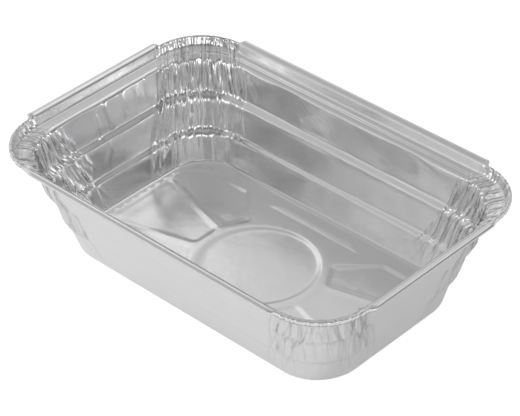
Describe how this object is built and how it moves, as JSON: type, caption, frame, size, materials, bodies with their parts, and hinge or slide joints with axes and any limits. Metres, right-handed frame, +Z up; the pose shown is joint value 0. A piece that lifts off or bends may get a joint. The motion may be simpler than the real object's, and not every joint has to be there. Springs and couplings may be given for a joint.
{
  "type": "foil tray",
  "caption": "Rectangular aluminium foil food tray: stepped sloping walls, gathered corners, embossed floor, flange and an upstanding hemmed lip.",
  "frame": {"origin": "centre of the base, on the surface that the tray rests on", "axes": "+X along the long side, +Y along the short side, +Z up out of the open mouth"},
  "size_m": [0.2174, 0.1474, 0.0586],
  "materials": {
    "foil": "satin rolled foil, plain, unpainted"
  },
  "bodies": {
    "root": {"foil_tray": "foil"}
  },
  "joints": []
}
